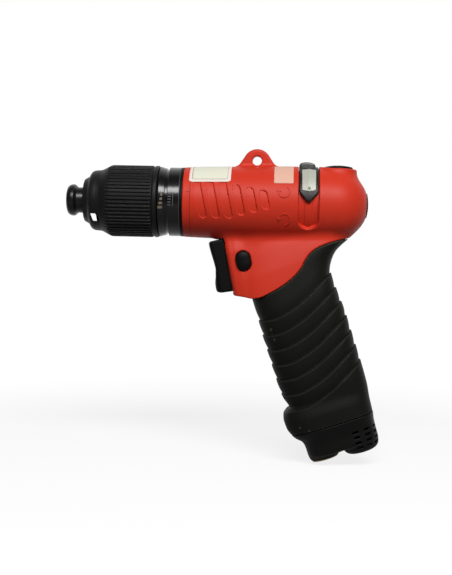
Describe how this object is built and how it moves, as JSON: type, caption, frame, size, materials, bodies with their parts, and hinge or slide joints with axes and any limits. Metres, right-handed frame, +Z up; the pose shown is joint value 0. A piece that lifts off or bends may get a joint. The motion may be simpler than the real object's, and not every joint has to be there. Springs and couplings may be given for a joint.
{
  "type": "pneumatic screwdriver",
  "caption": "Pistol-grip air screwdriver: quick-change hex bit collar, turning torque cap, vane motor with planetary gears, squeeze trigger, reverse lever, hanging eye and handle air inlet.",
  "frame": {"origin": "on the barrel axis, at the mouth of the hexagonal bit socket", "axes": "+X along the barrel to the rear, +Z up towards the hanging eye, +Y away from the viewer of the picture"},
  "size_m": [0.1769, 0.0418, 0.1734],
  "materials": {
    "red_shell": "semi-matte red glass-filled nylon",
    "grip_rubber": "matte black moulded rubber",
    "black_plastic": "satin black moulded plastic",
    "black_steel": "glossy blackened steel",
    "black_collar": "satin black oxide on turned steel",
    "plain_steel": "turned and ground steel",
    "spring_steel": "drawn spring wire",
    "bearing_steel": "polished bearing steel",
    "label_film": "blank cream or pink label film and plain printed marks",
    "lever_metal": "satin grey cast metal",
    "valve_brass": "turned brass",
    "vane_laminate": "brown laminate",
    "seal_rubber": "black nitrile rubber",
    "felt": "pale porous felt"
  },
  "bodies": {
    "housing": {"motor_housing": "red_shell", "grip_sleeve": "grip_rubber", "base_cap": "black_plastic", "base_screws": "plain_steel", "inlet_bushing": "valve_brass", "inlet_screen": "plain_steel", "exhaust_muffler": "felt", "top_plug": "black_plastic", "top_plug_seal": "seal_rubber", "rear_plug": "black_plastic", "rear_plug_seal": "seal_rubber", "clutch_case": "black_steel", "ring_gear": "plain_steel", "nose_bearing": "bearing_steel", "nose_clip": "spring_steel", "cap_snap_ring": "spring_steel", "front_end_plate": "plain_steel", "front_rotor_bearing": "bearing_steel", "motor_cylinder": "plain_steel", "rear_end_plate": "plain_steel", "rear_rotor_bearing": "bearing_steel", "stem_bush": "valve_brass", "valve_seat": "valve_brass", "valve_spring": "spring_steel"},
    "spindle": {"bit_holder": "plain_steel", "retaining_balls": "bearing_steel", "collar_clip": "spring_steel", "clutch_jaw": "plain_steel", "clutch_balls": "bearing_steel", "planet_carrier": "plain_steel", "planet_pins": "plain_steel", "clutch_spring": "spring_steel", "collar_spring": "spring_steel"},
    "collar": {"bit_collar": "black_collar"},
    "clutch_cap": {"torque_cap": "black_plastic"},
    "torque_seat": {"spring_seat": "plain_steel", "thrust_bearing": "bearing_steel"},
    "planet_1": {"planet_gear_1": "plain_steel"},
    "planet_2": {"planet_gear_2": "plain_steel"},
    "planet_3": {"planet_gear_3": "plain_steel"},
    "rotor": {"rotor": "plain_steel", "rotor_vanes": "vane_laminate", "sun_gear": "plain_steel"},
    "trigger": {"trigger": "black_plastic", "trigger_pin": "plain_steel", "valve_stem": "plain_steel", "valve_disc": "seal_rubber"},
    "lock": {"lock_button": "black_plastic"},
    "reverse": {"reverse_lever": "lever_metal", "reverse_valve": "valve_brass"}
  },
  "joints": [
    {"name": "rotor_spin", "type": "hinge", "parent": "housing", "child": "rotor", "pos_m": [0.084, 0, 0], "axis": [1, 0, 0], "continuous": true},
    {"name": "spindle_spin", "type": "hinge", "parent": "housing", "child": "spindle", "pos_m": [0.02, 0, 0], "axis": [1, 0, 0], "continuous": true},
    {"name": "planet_1_spin", "type": "hinge", "parent": "spindle", "child": "planet_1", "pos_m": [0.0537, 0, -0.0081], "axis": [1, 0, 0], "continuous": true},
    {"name": "planet_2_spin", "type": "hinge", "parent": "spindle", "child": "planet_2", "pos_m": [0.0537, 0.00701, 0.00405], "axis": [1, 0, 0], "continuous": true},
    {"name": "planet_3_spin", "type": "hinge", "parent": "spindle", "child": "planet_3", "pos_m": [0.0537, -0.00701, 0.00405], "axis": [1, 0, 0], "continuous": true},
    {"name": "collar_slide", "type": "slide", "parent": "spindle", "child": "collar", "axis": [-1, 0, 0], "range_m": [0, 0.004], "stiffness_N_per_m": 900, "springref_m": -0.004, "deforming": ["collar_spring"]},
    {"name": "torque_turn", "type": "hinge", "parent": "housing", "child": "clutch_cap", "pos_m": [0.03, 0, 0], "axis": [1, 0, 0], "range_deg": [0, 300]},
    {"name": "torque_seat_slide", "type": "slide", "parent": "housing", "child": "torque_seat", "axis": [1, 0, 0], "range_m": [0, 0.003], "deforming": ["clutch_spring"]},
    {"name": "trigger_pull", "type": "slide", "parent": "housing", "child": "trigger", "axis": [0.9748, 0, 0.2233], "range_m": [0, 0.0036], "stiffness_N_per_m": 2000, "springref_m": -0.002, "deforming": ["valve_spring"]},
    {"name": "lock_push", "type": "slide", "parent": "housing", "child": "lock", "axis": [0, -1, 0], "range_m": [0, 0.0025]},
    {"name": "reverse_turn", "type": "hinge", "parent": "housing", "child": "reverse", "pos_m": [0.1344, 0, 0], "axis": [1, 0, 0], "range_deg": [0, 42]}
  ],
  "couplings": [
    {"joint": "spindle_spin", "follows": "rotor_spin", "ratio": 0.22222},
    {"joint": "planet_1_spin", "follows": "rotor_spin", "ratio": -0.62222},
    {"joint": "planet_2_spin", "follows": "rotor_spin", "ratio": -0.62222},
    {"joint": "planet_3_spin", "follows": "rotor_spin", "ratio": -0.62222},
    {"joint": "torque_seat_slide", "follows": "torque_turn", "m_per_rad": 0.00057}
  ]
}
